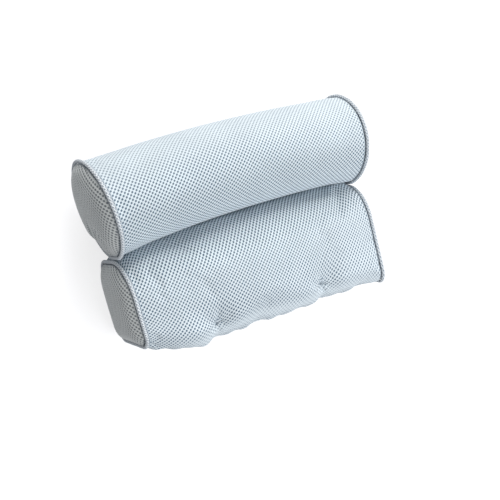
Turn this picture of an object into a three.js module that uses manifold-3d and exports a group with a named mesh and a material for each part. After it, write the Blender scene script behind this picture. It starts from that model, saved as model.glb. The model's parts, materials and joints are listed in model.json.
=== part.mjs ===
// Bath pillow in open mesh cloth: a stuffed roll above a stuffed pad, joined by a sewn tape
// hinge, with two suction cups tied behind the pad through its tufts.
// Millimetres. X runs along the roll, Y from the pad's foot to the roll, Z up out of the front.
// The pillow lies on its back, on the roll's underside and the rims of the cups.
import * as THREE from 'three';
import { mergeVertices } from 'three/addons/utils/BufferGeometryUtils.js';
import Module from 'manifold-3d';

const wasm = await Module();
wasm.setup();

// Roll
const rollLength = 330; // seam to seam along its middle
const rollWidth = 114; // across the pillow, before it is pressed
const rollDepth = 118; // front to back
const rollLean = THREE.MathUtils.degToRad(9); // its front leans over the pad
const rollBow = 7.5; // its middle arches away from the pad
const rollPress = 3; // pressed flat towards the pad
const rollSettle = 6.5; // its underside swells below the seams
const rollDome = 16; // swell of its end panels

// Pad
const padLength = 324; // seam to seam
const padHeight = 112; // foot to top, at the seams
const padThickness = 89.5; // front to back, at the seams
const padLift = 8; // back seams above the surface that the pillow lies on
const padTopFrontRadius = 42;
const padTopBackRadius = 20;
const padFootFrontRadius = 14;
const padFootBackRadius = 14;
const padFrontCrown = 6; // swell of the front between the seams
const padFootCrown = 6; // swell of the foot
const padDome = 9; // swell of its end panels
const nestGap = 0.6; // between the pad's top and the roll, halfway along

// Tufts sewn through the pad
const tuftSpacing = 148;
const tuftHeight = 14; // above the foot
const tuftDepth = 9; // how far a tuft is pulled into the front
const tuftBackDepth = 8; // and into the back
const tuftFlat = 6; // radius of its flat bottom
const tuftReach = 17; // how far its pull spreads
const footNotch = 4; // how far it draws in the foot
const threadRadius = 0.8;
const threadBend = 2; // radius of the tie's corners
const strandGap = 1.2; // from each strand of a tie to the lug of its cup

// Cloth, seams and piping
const clothThickness = 3;
const bodySink = 1.5; // the cloth lies this far under the middle of the piping's bead
const seamDrawLength = 24; // towards a seam it is drawn in under the bead over this length
const cordRadius = 1.15;
const cordPlay = 0.55; // between the piping cord and its cover
const coverThickness = 0.6; // strip of cloth folded round the piping cord
const coverSlit = 0.3; // between the two edges of the strip
const clearance = 0.35; // between pieces that touch

// Tape hinge between pad and roll
const tapeLength = 240;
const tapeThickness = 1.2;
const tapeOnPad = 14; // width sewn to the pad's back
const tapeOnRoll = 11; // width sewn to the roll
const foldOut = 8; // fold line beyond the pad's top
const foldSlack = 1.4; // from the fold line to each sewn half

// Suction cups
const cupRadius = 20;
const cupLip = 2.8; // flat rim that meets a wall
const cupLipThickness = 1;
const cupHollow = 4.5; // depth of the bell
const cupBellHeight = 9.5;
const cupFlare = 1.35; // how the bell curves up to its neck, 1 for a straight cone
const cupNeckRadius = 5.5;
const lugRadius = 4.5; // round top of the lug
const lugThickness = 6;
const eyePlay = 0.5; // between the thread and its hole in the lug

// Fineness of the surfaces
const sectionSteps = 30; // points round a cushion
const domeRings = [0.7, 0.35]; // rings of an end panel, as shares of its rim
const rollMiddleRings = [0.6, 0.3]; // rings of the roll, as shares of half its length
const beadSteps = 6; // round the outside of the piping
const boreSteps = 6; // round its inside
const cordSides = 6;
const threadSides = 6;
const latheSteps = 24;
const hollowShares = [0, 0.4, 0.75, 1]; // rings of a cup's hollow, as shares of its radius
const bellShares = [0, 0.25, 0.5, 0.75, 1]; // and of its outside
const tapeShares = [-1, -0.5, 0, 0.5, 1]; // rows of the roll's tape, as shares of half its length
const lugSegments = 5;
const searchSteps = 720;

// Sizes that follow
const beadRadius = cordRadius + cordPlay + coverThickness;
const seamSink = beadRadius + 2 * clearance; // depth of the cloth at a seam
const seamGap = coverSlit / 2 + coverThickness + clearance; // cloth edge to the seam's middle
const coverDepth = seamSink + clothThickness; // reach of the strip into the seam
const tuftSides = [-1, 1];
const padHalf = padLength / 2;
const rollHalf = rollLength / 2;
const tuftX = tuftSpacing / 2;
const threadSpan = lugThickness + 2 * (strandGap + threadRadius); // between a tie's strands
const eyeRadius = threadRadius + eyePlay;
const leanCos = Math.cos(rollLean);
const leanSin = Math.sin(rollLean);
const rollReachY = Math.hypot((rollWidth / 2) * leanCos, (rollDepth / 2) * leanSin);
const rollReachZ = Math.hypot((rollWidth / 2) * leanSin, (rollDepth / 2) * leanCos);
const seamSpace = 2 * beadRadius + clearance; // between the seams of pad and roll
const rollY = padHeight + seamSpace + rollReachY - rollPress;
const rollZ = rollReachZ + beadRadius + clearance;
const padTopCrown = rollBow + seamSpace + 2 * bodySink - nestGap; // swells up to the roll
const padBackZ = padLift + bodySink; // cloth of the pad's back
const eyeZ = padBackZ + tuftBackDepth - clearance - lugRadius;
const tuftTopZ = padLift + padThickness - bodySink - tuftDepth
  + padFrontCrown * (1 - (tuftX / padHalf) ** 2); // cloth at the bottom of a tuft
const foldY = padHeight + foldOut;
const foldZ = padBackZ - clearance - tapeThickness / 2;

// Colours
const meshBlue = { color: 0xc9dcea, roughness: 0.85, metalness: 0 };
const panelBlue = { color: 0xbfd0d9, roughness: 0.85, metalness: 0 };
const pipingBlue = { color: 0xd3e3ef, roughness: 0.8, metalness: 0 };
const cordWhite = { color: 0xeceeec, roughness: 0.9, metalness: 0 };
const fibreWhite = { color: 0xf4f4f0, roughness: 0.95, metalness: 0 };
const threadBlue = { color: 0xd9e5ee, roughness: 0.7, metalness: 0 };
const tapeBlue = { color: 0xc3d3df, roughness: 0.85, metalness: 0 };
const clearVinyl = { color: 0xdde8ec, roughness: 0.2, metalness: 0 };

const pillow = new THREE.Group();

function addPiece(name, geometry, finish) {
  const mesh = new THREE.Mesh(geometry, new THREE.MeshStandardMaterial(finish));
  mesh.name = name;
  pillow.add(mesh);
}

// A surface from points and triangles, turned to face outwards
function surface(points, triangles) {
  let volume = 0;
  for (let i = 0; i < triangles.length; i += 3) {
    const [a, b, c] = [points[triangles[i]], points[triangles[i + 1]], points[triangles[i + 2]]];
    volume += a.dot(b.clone().cross(c));
  }
  const geometry = new THREE.BufferGeometry();
  const numbers = points.flatMap((point) => point.toArray());
  geometry.setAttribute('position', new THREE.Float32BufferAttribute(numbers, 3));
  geometry.setIndex(volume < 0 ? triangles.reverse() : triangles);
  return geometry;
}

function addQuad(triangles, a, b, c, d) {
  triangles.push(a, b, c, a, c, d);
}

// Rows that go once round, each a closed loop of points. From the place in the loop where it
// runs back, faces are split the other way, so that both sides of a wall have the same creases.
function bandSolid(rows, runsBack = Infinity) {
  const count = rows[0].length;
  const triangles = [];
  rows.forEach((row, i) => {
    const here = i * count;
    const next = ((i + 1) % rows.length) * count;
    row.forEach((point, j) => {
      const after = (j + 1) % count;
      if (j < runsBack) {
        addQuad(triangles, here + j, next + j, next + after, here + after);
      } else {
        addQuad(triangles, next + j, next + after, here + after, here + j);
      }
    });
  });
  return surface(rows.flat(), triangles);
}

// Rows that go once round, each an open line from one pole to the other
function poleSolid(rows, firstPole, lastPole) {
  const count = rows[0].length;
  const first = rows.length * count;
  const triangles = [];
  rows.forEach((row, i) => {
    const here = i * count;
    const next = ((i + 1) % rows.length) * count;
    triangles.push(first, next, here);
    for (let j = 0; j < count - 1; j += 1) {
      addQuad(triangles, here + j, next + j, next + j + 1, here + j + 1);
    }
    triangles.push(first + 1, here + count - 1, next + count - 1);
  });
  return surface([...rows.flat(), firstPole, lastPole], triangles);
}

// Rows side by side, each the closed outline of a strip's section
function stripSolid(rows) {
  const count = rows[0].length;
  const last = (rows.length - 1) * count;
  const triangles = [];
  for (let i = 0; i < rows.length - 1; i += 1) {
    for (let j = 0; j < count; j += 1) {
      const after = (j + 1) % count;
      const here = i * count;
      addQuad(triangles, here + j, here + count + j, here + count + after, here + after);
    }
  }
  // Each end is closed by a ladder between the two sides of the strip
  for (let j = 0; j < count / 2 - 1; j += 1) {
    const far = count - 1 - j;
    addQuad(triangles, j, j + 1, far - 1, far);
    addQuad(triangles, last + far, last + far - 1, last + j + 1, last + j);
  }
  return surface(rows.flat(), triangles);
}

function toSolid(geometry) {
  const bare = geometry.clone();
  bare.deleteAttribute('normal');
  bare.deleteAttribute('uv');
  const merged = mergeVertices(bare);
  const vertProperties = new Float32Array(merged.attributes.position.array);
  const triVerts = new Uint32Array(merged.index.array);
  return new wasm.Manifold(new wasm.Mesh({ numProp: 3, vertProperties, triVerts }));
}

function toGeometry(solid) {
  const mesh = solid.getMesh();
  const geometry = new THREE.BufferGeometry();
  geometry.setAttribute('position', new THREE.Float32BufferAttribute(mesh.vertProperties, 3));
  geometry.setIndex([...mesh.triVerts]);
  return geometry;
}

function cutAway(geometry, tools) {
  return toGeometry(tools.reduce((solid, tool) => solid.subtract(toSolid(tool)), toSolid(geometry)));
}

// A point of the roll. turn goes once round, along runs from seam to seam as -1 to 1,
// inset is the depth under the seam line and shift an extra step along X.
function rollPoint(turn, along, inset, shift = 0) {
  const angle = turn * 2 * Math.PI;
  const wide = rollWidth / 2;
  const deep = rollDepth / 2;
  const steep = Math.hypot(deep * Math.cos(angle), wide * Math.sin(angle));
  const p = (wide - (inset * deep) / steep) * Math.cos(angle);
  const q = (deep - (inset * wide) / steep) * Math.sin(angle);
  const y = Math.max(p * leanCos - q * leanSin, rollPress + inset - rollReachY);
  const z = p * leanSin + q * leanCos;
  const middle = 1 - along ** 2;
  const settle = rollSettle * middle * Math.max(0, -z / rollReachZ) ** 2;
  const tilt = 1 + (8 * rollBow * y) / rollLength ** 2; // the seams stand square to the bow
  return new THREE.Vector3(
    along * rollHalf * tilt + shift,
    rollY + rollBow * middle + y,
    Math.max(rollZ + z - settle, inset - bodySink),
  );
}

function padOutline() {
  const top = padHeight;
  const back = padLift;
  const front = padLift + padThickness;
  const shape = new THREE.Shape();
  shape.moveTo(padFootBackRadius, back);
  shape.lineTo(top - padTopBackRadius, back);
  shape.absarc(top - padTopBackRadius, back + padTopBackRadius, padTopBackRadius, -Math.PI / 2, 0);
  shape.lineTo(top, front - padTopFrontRadius);
  shape.absarc(top - padTopFrontRadius, front - padTopFrontRadius, padTopFrontRadius, 0, Math.PI / 2);
  shape.lineTo(padFootFrontRadius, front);
  shape.absarc(padFootFrontRadius, front - padFootFrontRadius, padFootFrontRadius, Math.PI / 2, Math.PI);
  shape.lineTo(0, back + padFootBackRadius);
  shape.absarc(padFootBackRadius, back + padFootBackRadius, padFootBackRadius, Math.PI, 1.5 * Math.PI);
  return shape;
}

const padShape = padOutline();

// A point of the pad, with the same four values as a point of the roll
function padPoint(turn, along, inset, shift = 0) {
  const base = padShape.getPoint(turn);
  const tangent = padShape.getTangent(turn);
  const outY = tangent.y;
  const outZ = -tangent.x;
  const front = Math.max(0, outZ);
  const back = Math.max(0, -outZ);
  const top = Math.max(0, outY);
  const foot = Math.max(0, -outY);
  const middle = 1 - along ** 2;
  const point = new THREE.Vector3(
    along * padHalf,
    base.x - outY * inset + middle * (padTopCrown * top ** 2 - padFootCrown * foot ** 2),
    base.y - outZ * inset + middle * padFrontCrown * front ** 2,
  );
  for (const side of tuftSides) {
    const acrossX = point.x - side * tuftX;
    const away = Math.max(0, Math.hypot(acrossX, base.x - tuftHeight) - tuftFlat);
    const pull = Math.exp(-((away / tuftReach) ** 2));
    point.z += pull * (tuftBackDepth * back - tuftDepth * front);
    point.y += footNotch * foot * Math.exp(-((acrossX / tuftReach) ** 2));
  }
  point.x += shift;
  return point;
}

// Both halves mirrored about the middle, from one end to the other
function stationsFrom(offsets, half) {
  const shares = offsets.map((offset) => offset / half);
  return [...shares.map((share) => -share), 0, ...shares.reverse()];
}

const rollEnds = [rollHalf, rollHalf - seamDrawLength / 2, rollHalf - seamDrawLength];
const padEnds = [padHalf, padHalf - seamDrawLength / 2, padHalf - seamDrawLength];
const tuftStations = [1, -1].flatMap((side) => (
  [tuftReach + tuftFlat / 2, tuftFlat].map((step) => tuftX + side * step)
));

const roll = {
  name: 'roll',
  point: rollPoint,
  half: rollHalf,
  dome: rollDome,
  stations: stationsFrom(
    [...rollEnds, ...rollMiddleRings.map((share) => share * rollHalf)],
    rollHalf,
  ),
};
const pad = {
  name: 'pad',
  point: padPoint,
  half: padHalf,
  dome: padDome,
  stations: stationsFrom(
    [...padEnds, ...tuftStations, tuftX / 2].sort((a, b) => b - a),
    padHalf,
  ),
};

const turns = Array.from({ length: sectionSteps }, (unused, i) => i / sectionSteps);

// Depth of the outer face of the cloth, which is drawn in towards the seams
function clothSink(cushion, along) {
  const nearSeam = Math.max(0, 1 - (cushion.half * (1 - Math.abs(along))) / seamDrawLength);
  return bodySink + (seamSink - bodySink) * nearSeam ** 2;
}

function edgeShift(along) {
  return Math.abs(along) === 1 ? -along * seamGap : 0;
}

// Tube of cloth round a cushion, open at both ends
function sleeve(cushion) {
  const backwards = [...cushion.stations].reverse();
  return bandSolid(turns.map((turn) => [
    ...cushion.stations.map((along) => (
      cushion.point(turn, along, clothSink(cushion, along), edgeShift(along))
    )),
    ...backwards.map((along) => (
      cushion.point(turn, along, clothSink(cushion, along) + clothThickness, edgeShift(along))
    )),
  ]), cushion.stations.length);
}

function middleOf(points) {
  const sum = points.reduce((total, point) => total.add(point), new THREE.Vector3());
  return sum.divideScalar(points.length);
}

// Domed cover: from a rim point towards the middle, at each ring of the dome
function domeLine(rim, middle, rise) {
  return domeRings.map((share) => {
    const point = middle.clone().lerp(rim, share);
    point.x += rise * (1 - share ** 2);
    return point;
  });
}

// Panel of cloth that closes one end of a cushion
function endPanel(cushion, side) {
  const rimAt = (shift) => (
    turns.map((turn) => cushion.point(turn, side, seamSink, side * (seamGap + shift)))
  );
  const outerRim = rimAt(clothThickness);
  const innerRim = rimAt(0);
  const outerMiddle = middleOf(outerRim);
  const innerMiddle = middleOf(innerRim);
  const rise = side * cushion.dome;
  const rows = turns.map((turn, i) => [
    ...domeLine(outerRim[i], outerMiddle, rise).reverse(),
    outerRim[i],
    innerRim[i],
    ...domeLine(innerRim[i], innerMiddle, rise),
  ]);
  outerMiddle.x += rise;
  innerMiddle.x += rise;
  return poleSolid(rows, outerMiddle, innerMiddle);
}

// Fibre filling inside the sleeve and the end panels
function filling(cushion) {
  const depth = clothThickness + clearance;
  const ends = [-1, 1].map((side) => {
    const rim = turns.map((turn) => cushion.point(turn, side, seamSink + depth, edgeShift(side)));
    return { rim, middle: middleOf(rim), rise: side * (cushion.dome + 2 * seamGap - clearance) };
  });
  const inner = cushion.stations.slice(1, -1);
  const rows = turns.map((turn, i) => [
    ...domeLine(ends[0].rim[i], ends[0].middle, ends[0].rise).reverse(),
    ends[0].rim[i],
    ...inner.map((along) => cushion.point(turn, along, clothSink(cushion, along) + depth)),
    ends[1].rim[i],
    ...domeLine(ends[1].rim[i], ends[1].middle, ends[1].rise),
  ]);
  const poles = ends.map((end) => end.middle.clone().add(new THREE.Vector3(end.rise, 0, 0)));
  return poleSolid(rows, ...poles);
}

// Points of an arc about the middle of the bead, from one angle to another
function arcPoints(radius, from, to, steps) {
  return Array.from({ length: steps + 1 }, (unused, i) => {
    const angle = from + ((to - from) * i) / steps;
    return new THREE.Vector2(radius * Math.cos(angle), radius * Math.sin(angle));
  });
}

// Section of the piping's cover: a strip folded round the cord, both edges down in the seam
function coverSection() {
  const slitHalf = coverSlit / 2;
  const edgeHalf = slitHalf + coverThickness;
  const boreRadius = beadRadius - coverThickness;
  const outerNeck = -Math.acos(edgeHalf / beadRadius);
  const innerNeck = -Math.acos(slitHalf / boreRadius);
  return [
    new THREE.Vector2(edgeHalf, -coverDepth),
    ...arcPoints(beadRadius, outerNeck, Math.PI - outerNeck, beadSteps),
    new THREE.Vector2(-edgeHalf, -coverDepth),
    new THREE.Vector2(-slitHalf, -coverDepth),
    ...arcPoints(boreRadius, Math.PI - innerNeck, innerNeck, boreSteps),
    new THREE.Vector2(slitHalf, -coverDepth),
  ];
}

// A section carried once round the seam at one end of a cushion
function roundSeam(cushion, side, section) {
  return bandSolid(turns.map((turn) => (
    section.map((spot) => cushion.point(turn, side, -spot.y, side * spot.x))
  )));
}

function cordSection() {
  return arcPoints(cordRadius, 0, 2 * Math.PI, cordSides).slice(0, -1);
}

// Loop of thread through the pad and through the eye of a cup, as a swept tube
function tie(side, radius, sides) {
  const half = threadSpan / 2;
  const top = tuftTopZ;
  const outline = new THREE.Shape();
  outline.moveTo(-half, eyeZ + threadBend);
  outline.absarc(-half + threadBend, eyeZ + threadBend, threadBend, Math.PI, 1.5 * Math.PI);
  outline.absarc(half - threadBend, eyeZ + threadBend, threadBend, -Math.PI / 2, 0);
  outline.absarc(half - threadBend, top - threadBend, threadBend, 0, Math.PI / 2);
  outline.absarc(-half + threadBend, top - threadBend, threadBend, Math.PI / 2, Math.PI);
  const loop = outline.getPoints(1);
  const rows = loop.map((spot, i) => {
    const before = loop[(i + loop.length - 1) % loop.length];
    const after = loop[(i + 1) % loop.length];
    const forward = after.clone().sub(before).normalize();
    return arcPoints(radius, 0, 2 * Math.PI, sides).slice(0, -1).map((ring) => new THREE.Vector3(
      side * tuftX + spot.x + forward.y * ring.x,
      tuftHeight + ring.y,
      spot.y - forward.x * ring.x,
    ));
  });
  return bandSolid(rows);
}

// Suction cup: a bell with a flat lip, and a lug with an eye for the thread
function suctionCup(side) {
  const inner = cupRadius - cupLip;
  const rise = cupBellHeight - cupLipThickness;
  const bell = new THREE.LatheGeometry([
    ...hollowShares.map((share) => new THREE.Vector2(inner * share, cupHollow * (1 - share ** 2))),
    new THREE.Vector2(cupRadius, 0),
    ...bellShares.map((share) => new THREE.Vector2(
      THREE.MathUtils.lerp(cupRadius, cupNeckRadius, share),
      cupLipThickness + rise * share ** cupFlare,
    )),
    new THREE.Vector2(0, cupBellHeight),
  ], latheSteps);
  bell.rotateX(Math.PI / 2);
  const tab = new THREE.Shape();
  tab.moveTo(-lugRadius, cupBellHeight - lugRadius / 2);
  tab.lineTo(lugRadius, cupBellHeight - lugRadius / 2);
  tab.absarc(0, eyeZ, lugRadius, 0, Math.PI);
  const eye = new THREE.Path();
  eye.absarc(0, eyeZ, eyeRadius, 0, 2 * Math.PI, true);
  tab.holes.push(eye);
  const lug = new THREE.ExtrudeGeometry(tab, {
    depth: lugThickness,
    bevelEnabled: false,
    curveSegments: lugSegments,
  });
  // The outline's own x and y become Y and Z, and its depth runs along X
  lug.translate(0, 0, -lugThickness / 2);
  lug.rotateY(Math.PI / 2);
  lug.rotateX(Math.PI / 2);
  const cup = toGeometry(toSolid(bell).add(toSolid(lug)));
  cup.translate(side * tuftX, tuftHeight, 0);
  return cup;
}

// Half of the tape that is sewn to the back of the pad
function padTape() {
  const low = padBackZ - clearance - tapeThickness;
  const high = padBackZ - clearance;
  const far = foldY - foldSlack;
  const near = padHeight - padTopBackRadius - tapeOnPad;
  return stripSolid([-tapeLength / 2, tapeLength / 2].map((x) => [
    new THREE.Vector3(x, near, high),
    new THREE.Vector3(x, far, high),
    new THREE.Vector3(x, far, low),
    new THREE.Vector3(x, near, low),
  ]));
}

// Place round the roll's section, on the side of the pad, that is level with the fold line
function tapeTurn(along) {
  const candidates = Array.from({ length: searchSteps }, (unused, i) => i / searchSteps)
    .filter((turn) => rollPoint(turn, along, bodySink).y < rollY);
  const miss = (turn) => Math.abs(rollPoint(turn, along, bodySink).z - foldZ);
  return candidates.reduce((best, turn) => (miss(turn) < miss(best) ? turn : best));
}

// Half of the tape that is sewn to the roll
function rollTape() {
  const perimeter = Math.PI * (rollWidth + rollDepth) / 2;
  const sewnTurn = tapeOnRoll / perimeter;
  return stripSolid(tapeShares.map((share) => {
    const along = (share * tapeLength) / rollLength;
    const meets = tapeTurn(along);
    const sewn = [0, 0.5, 1].map((part) => meets + part * sewnTurn);
    const line = (depth) => sewn.map((turn) => rollPoint(turn, along, bodySink - depth));
    const upper = line(clearance);
    const lower = line(clearance + tapeThickness);
    const forward = upper[0].clone().sub(new THREE.Vector3(upper[0].x, foldY, foldZ)).normalize();
    const start = (lift) => new THREE.Vector3(
      upper[0].x,
      foldY + forward.y * foldSlack - forward.z * lift,
      foldZ + forward.z * foldSlack + forward.y * lift,
    );
    const row = [
      start(tapeThickness / 2),
      ...upper,
      ...lower.reverse(),
      start(-tapeThickness / 2),
    ];
    row.forEach((point) => {
      point.x = (share * tapeLength) / 2;
    });
    return row;
  }));
}

const threadHoles = tuftSides.map((side) => tie(side, threadRadius + clearance, threadSides));
const sideNames = { [-1]: 'left', 1: 'right' };

// Pad and roll, each with its sleeve, filling, end panels and piping
addPiece('pad_sleeve', cutAway(sleeve(pad), threadHoles), meshBlue);
addPiece('pad_filling', cutAway(filling(pad), threadHoles), fibreWhite);
addPiece('roll_sleeve', sleeve(roll), meshBlue);
addPiece('roll_filling', filling(roll), fibreWhite);
for (const cushion of [pad, roll]) {
  for (const side of [-1, 1]) {
    const end = sideNames[side];
    addPiece(`${cushion.name}_end_${end}`, endPanel(cushion, side), panelBlue);
    addPiece(`${cushion.name}_piping_${end}`, roundSeam(cushion, side, coverSection()), pipingBlue);
    addPiece(`${cushion.name}_piping_cord_${end}`, roundSeam(cushion, side, cordSection()), cordWhite);
  }
}

// Ties and cups
for (const side of tuftSides) {
  addPiece(`tuft_thread_${sideNames[side]}`, tie(side, threadRadius, threadSides), threadBlue);
  addPiece(`suction_cup_${sideNames[side]}`, suctionCup(side), clearVinyl);
}

// Hinge tape
addPiece('hinge_tape_pad', padTape(), tapeBlue);
addPiece('hinge_tape_roll', rollTape(), tapeBlue);

// The origin goes to the middle of the pillow's length and height, on the surface below it
const box = new THREE.Box3().setFromObject(pillow);
pillow.position.y = -(box.min.y + box.max.y) / 2;

export default pillow;
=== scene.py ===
import json
import math
import bpy
import numpy as np
from mathutils import Matrix, Vector

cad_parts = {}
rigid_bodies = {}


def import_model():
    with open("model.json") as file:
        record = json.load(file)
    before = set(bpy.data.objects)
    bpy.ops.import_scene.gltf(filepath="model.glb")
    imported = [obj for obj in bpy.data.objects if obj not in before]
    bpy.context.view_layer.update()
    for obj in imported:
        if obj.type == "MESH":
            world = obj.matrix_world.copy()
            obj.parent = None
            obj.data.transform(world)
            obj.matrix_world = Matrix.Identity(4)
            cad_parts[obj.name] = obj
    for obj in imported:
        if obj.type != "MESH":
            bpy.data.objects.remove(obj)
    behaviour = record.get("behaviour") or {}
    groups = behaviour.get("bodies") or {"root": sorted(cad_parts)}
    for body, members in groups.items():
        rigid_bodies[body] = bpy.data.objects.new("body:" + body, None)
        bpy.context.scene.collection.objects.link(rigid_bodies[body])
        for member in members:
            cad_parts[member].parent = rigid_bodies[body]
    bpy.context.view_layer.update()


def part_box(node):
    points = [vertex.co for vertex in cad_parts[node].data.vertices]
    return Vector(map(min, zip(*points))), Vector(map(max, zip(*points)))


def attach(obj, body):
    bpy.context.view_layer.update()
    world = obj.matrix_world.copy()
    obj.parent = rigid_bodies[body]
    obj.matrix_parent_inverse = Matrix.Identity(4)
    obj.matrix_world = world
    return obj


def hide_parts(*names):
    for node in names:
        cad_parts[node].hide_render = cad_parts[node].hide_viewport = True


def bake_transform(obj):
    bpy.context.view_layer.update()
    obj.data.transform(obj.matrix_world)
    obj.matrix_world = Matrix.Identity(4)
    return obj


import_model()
scene = bpy.context.scene

# Sizes are in millimetres, as in the part, and meshes are written in metres.
mm = 0.001
sideNames = {-1: "Left", 1: "Right"}
tieLow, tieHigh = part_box("tuft_thread_left")
# dark and darkReach below give the strength and reach of the painted shade at the pinch of each tuft
tuft = {
    "x": 74, "y": 14, "depth": 7.5, "backDepth": 8, "flat": 6, "reach": 15,
    "held": 9, "bottom": 3, "gather": 0.34, "gatherReach": 20, "dark": 0.65, "darkReach": 2.6,
}
shiftY = (tieLow.y + tieHigh.y) / 2 / mm - tuft["y"]  # the part is centred on its own box

roll = {
    "half": 167, "wide": 57, "deep": 59, "lean": math.radians(9), "bow": 7.5, "slide": 1.5,
    "press": 3, "pressLoss": 0.6, "pressFrom": 0.75,  # flat against the pad, less near both ends
    "settle": 6.5, "endLift": 9, "liftFrom": 0.6,  # flat below, with both ends drawn up
    "offPad": 4.95, "offGround": 2.65, "dome": 10.5, "slump": 0.65,
    "ease": 0.002, "swellLimit": 4.0, "evening": 12, "period": 5.25, "twist": -0.036,
}
pad = {
    "half": 163, "height": 112, "thick": 89.5, "lift": 8,
    "topFront": 42, "topBack": 20, "footFront": 18, "footBack": 14,  # radii of the section
    "frontCrown": 6, "footCrown": 7.5, "topCrown": 14.85, "notch": 1.5, "dome": 9.5, "slump": 0.0,
    "shoulder": 5.5, "shoulderPlace": 150, "shoulderWidth": 17, "corner": 2.5, "cornerWidth": 14,
    "ease": 0.004, "swellLimit": 5.0, "evening": 0, "period": 4.85, "twist": 0.0,
}
cloth = {
    "sink": 1.5, "seamSink": 2.4, "seamGap": 1.6, "draw": 24, "bead": 2.05, "domePower": 5,
    "edge": 2.6, "tuck": 6.5, "halfEdge": 0.45, "halfTuck": 0.65, "faceGap": 0.5, "ground": 0.2,
}
# Rows of holes in the cloth, from two waves: grid points in a period, and depths of the pits
lattice = {
    "samples": 4, "pit": 1.3, "endPit": 1.3, "pipingPit": 0.4, "ridge": 0.15, "seamFade": 4,
    "strong": 0.57, "weak": 0.43,  # weights of the waves
    "hole": (0.0, 0.55), "strand": (0.75, -0.9),  # where their sum makes holes and strands
}

leanCos, leanSin = math.cos(roll["lean"]), math.sin(roll["lean"])
roll["reachY"] = math.hypot(roll["wide"] * leanCos, roll["deep"] * leanSin)
roll["reachZ"] = math.hypot(roll["wide"] * leanSin, roll["deep"] * leanCos)
roll["y"] = pad["height"] + roll["offPad"] + roll["reachY"] - roll["press"]
roll["z"] = roll["reachZ"] + roll["offGround"]


# Shapes of the two cushions

def smooth(low, high, value):
    share = np.clip((value - low) / (high - low), 0, 1)
    return share * share * (3 - 2 * share)


# 1 between full and fade, and 0 before start and after end
def band(value, start, full, fade, end):
    return smooth(start, full, value) * smooth(end, fade, value)


def bell(value, width):
    return np.exp(-(value / width) ** 2)


# How far the roll is pressed flat against the pad, less at its ends
def rollPress(x):
    loss = roll["pressLoss"] * smooth(roll["pressFrom"], 1, np.abs(x) / roll["half"])
    return roll["press"] * (1 - loss)


# A point of the roll: an oval that leans, bows away from the pad and settles on what it lies on.
# Its ends are drawn up from below.
def rollPoint(turn, x, inset, step=0.0):
    angle = turn * 2 * math.pi
    wide, deep = roll["wide"], roll["deep"]
    steep = np.hypot(deep * np.cos(angle), wide * np.sin(angle))
    p = (wide - inset * deep / steep) * np.cos(angle)
    q = (deep - inset * wide / steep) * np.sin(angle)
    y = np.maximum(p * leanCos - q * leanSin, rollPress(x) + inset - roll["reachY"])
    z = p * leanSin + q * leanCos
    middle = 1 - (x / roll["half"]) ** 2
    below = np.maximum(0, -z / roll["reachZ"])
    lift = roll["endLift"] * below * smooth(roll["liftFrom"], 1, np.abs(x) / roll["half"])
    settle = roll["settle"] * middle * below ** 2 - lift
    tilt = 1 + 8 * roll["bow"] * y / (2 * roll["half"]) ** 2  # sections stay square to the bow
    return np.stack([
        x * tilt + step + roll["slide"],
        roll["y"] + roll["bow"] * middle + y,
        np.maximum(roll["z"] + z - settle, inset - cloth["sink"]),
    ], -1)


# Outline of the pad's section: four rounded corners joined by straight lines, as place and
# direction of the normal against length along it.
def padOutline():
    height, low, high = pad["height"], pad["lift"], pad["lift"] + pad["thick"]
    back, front = pad["topBack"], pad["topFront"]
    footFront, footBack = pad["footFront"], pad["footBack"]
    corners = [
        (height - back, low + back, back, -90), (height - front, high - front, front, 0),
        (footFront, high - footFront, footFront, 90), (footBack, low + footBack, footBack, 180),
    ]
    y, z, normal = [footBack], [low], [-math.pi / 2]
    for centreY, centreZ, radius, start in corners:
        angles = np.radians(np.linspace(start, start + 90, 25))
        y.extend(centreY + radius * np.cos(angles))
        z.extend(centreZ + radius * np.sin(angles))
        normal.extend(angles)
    length = np.concatenate([[0], np.cumsum(np.hypot(np.diff(y), np.diff(z)))])
    return length, np.array(y), np.array(z), np.array(normal)


outlineLength, outlineY, outlineZ, outlineNormal = padOutline()
pad["round"] = outlineLength[-1]
inCorner = np.abs(np.degrees(outlineNormal) - 135) < 45  # between front and foot
pad["tuftFront"] = np.interp(-tuft["y"], -outlineY[inCorner], outlineLength[inCorner])

# The soft foot in the photograph is pushed up at its left corner, bulges beside the left tuft and
# sags along its right half.
footForm = {
    "skew": 13, "ends": 2.5, "bulge": 9, "bulgePlace": -105, "bulgeWidth": 45,
    "sag": 6.5, "sagRise": (-25, 45), "reach": 55,
}


def footSkew(x):
    share = x / pad["half"]
    bulge = footForm["bulge"] * bell(x - footForm["bulgePlace"], footForm["bulgeWidth"])
    sag = footForm["sag"] * smooth(*footForm["sagRise"], x)
    return -footForm["skew"] * share ** 3 + footForm["ends"] * share ** 6 - (bulge + sag)


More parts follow.
